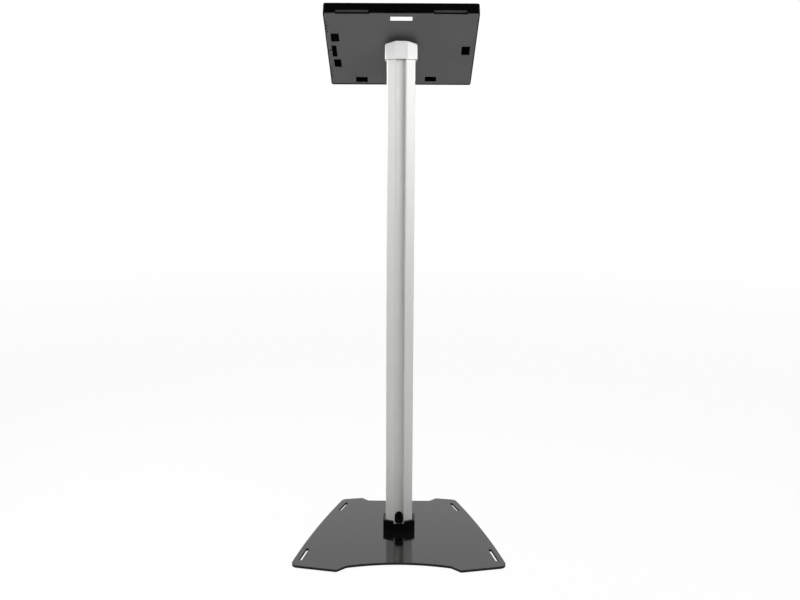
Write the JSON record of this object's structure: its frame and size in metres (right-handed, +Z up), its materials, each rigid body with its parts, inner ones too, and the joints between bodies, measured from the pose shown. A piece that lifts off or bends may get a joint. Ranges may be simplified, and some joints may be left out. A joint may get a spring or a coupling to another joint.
{
  "type": "tablet floor stand",
  "caption": "Floor stand with a flat lobed steel base, a silver column with a rear channel, and a lockable tablet enclosure that tilts and turns on top.",
  "frame": {"origin": "on the floor, under the middle of the base plate's bounding box", "axes": "+Z up, +Y towards the person at the screen, -Y the rear face with the channel, +X to the right seen from the rear"},
  "size_m": [0.4216, 0.345, 1.0835],
  "materials": {
    "base_coat": "glossy black coat on steel plate",
    "rubber": "black rubber",
    "column_aluminium": "satin anodised extrusion",
    "trim_black": "black moulding",
    "cap_plastic": "pale grey moulding",
    "cast_block": "die casting, as cast",
    "zinc_hardware": "zinc-plated steel",
    "black_hardware": "black oxide steel",
    "friction_nylon": "natural nylon",
    "bracket_coat": "black coat on steel",
    "case_coat": "satin black powder coat on sheet steel",
    "frame_coat": "satin black powder coat on sheet steel",
    "hook_coat": "satin dark coat on steel strip",
    "lock_chrome": "chrome-plated"
  },
  "bodies": {
    "stand": {"base_plate": "base_coat", "base_feet": "rubber", "column_screws": "zinc_hardware", "column": "column_aluminium", "base_collar": "trim_black", "cable_grommet": "rubber", "column_cap": "cap_plastic", "head_block": "cast_block", "head_block_screws": "zinc_hardware", "tilt_bolt": "black_hardware", "tilt_nut": "zinc_hardware", "tilt_washers": "friction_nylon"},
    "tilt_head": {"tilt_bracket": "bracket_coat", "swivel_friction_washer": "friction_nylon", "swivel_screw": "zinc_hardware", "swivel_spring_washer": "black_hardware", "swivel_stop_pin": "zinc_hardware"},
    "enclosure": {"rear_case": "case_coat", "corner_holders": "trim_black", "corner_studs": "zinc_hardware", "corner_nuts": "zinc_hardware", "lock_keeper": "zinc_hardware"},
    "frame": {"front_frame": "frame_coat", "hook_tabs": "hook_coat", "lock_housing": "lock_chrome", "lock_nut": "lock_chrome"},
    "lock": {"lock_plug": "lock_chrome", "lock_cam": "zinc_hardware", "lock_cam_screw": "zinc_hardware"}
  },
  "joints": [
    {"name": "head_tilt", "type": "hinge", "parent": "stand", "child": "tilt_head", "pos_m": [0, 0.02698, 0.98625], "axis": [-1, 0, 0], "range_deg": [-11, 25]},
    {"name": "head_swivel", "type": "hinge", "parent": "tilt_head", "child": "enclosure", "pos_m": [0, 0.02698, 0.98625], "axis": [0, 0.5, 0.866], "range_deg": [0, 90]},
    {"name": "frame_swing", "type": "hinge", "parent": "enclosure", "child": "frame", "pos_m": [0, -0.05536, 1.06404], "axis": [1, 0, 0], "range_deg": [0, 75]},
    {"name": "lock_turn", "type": "hinge", "parent": "frame", "child": "lock", "pos_m": [0, 0.14211, 0.96366], "axis": [0, -0.866, 0.5], "range_deg": [0, 90]}
  ]
}
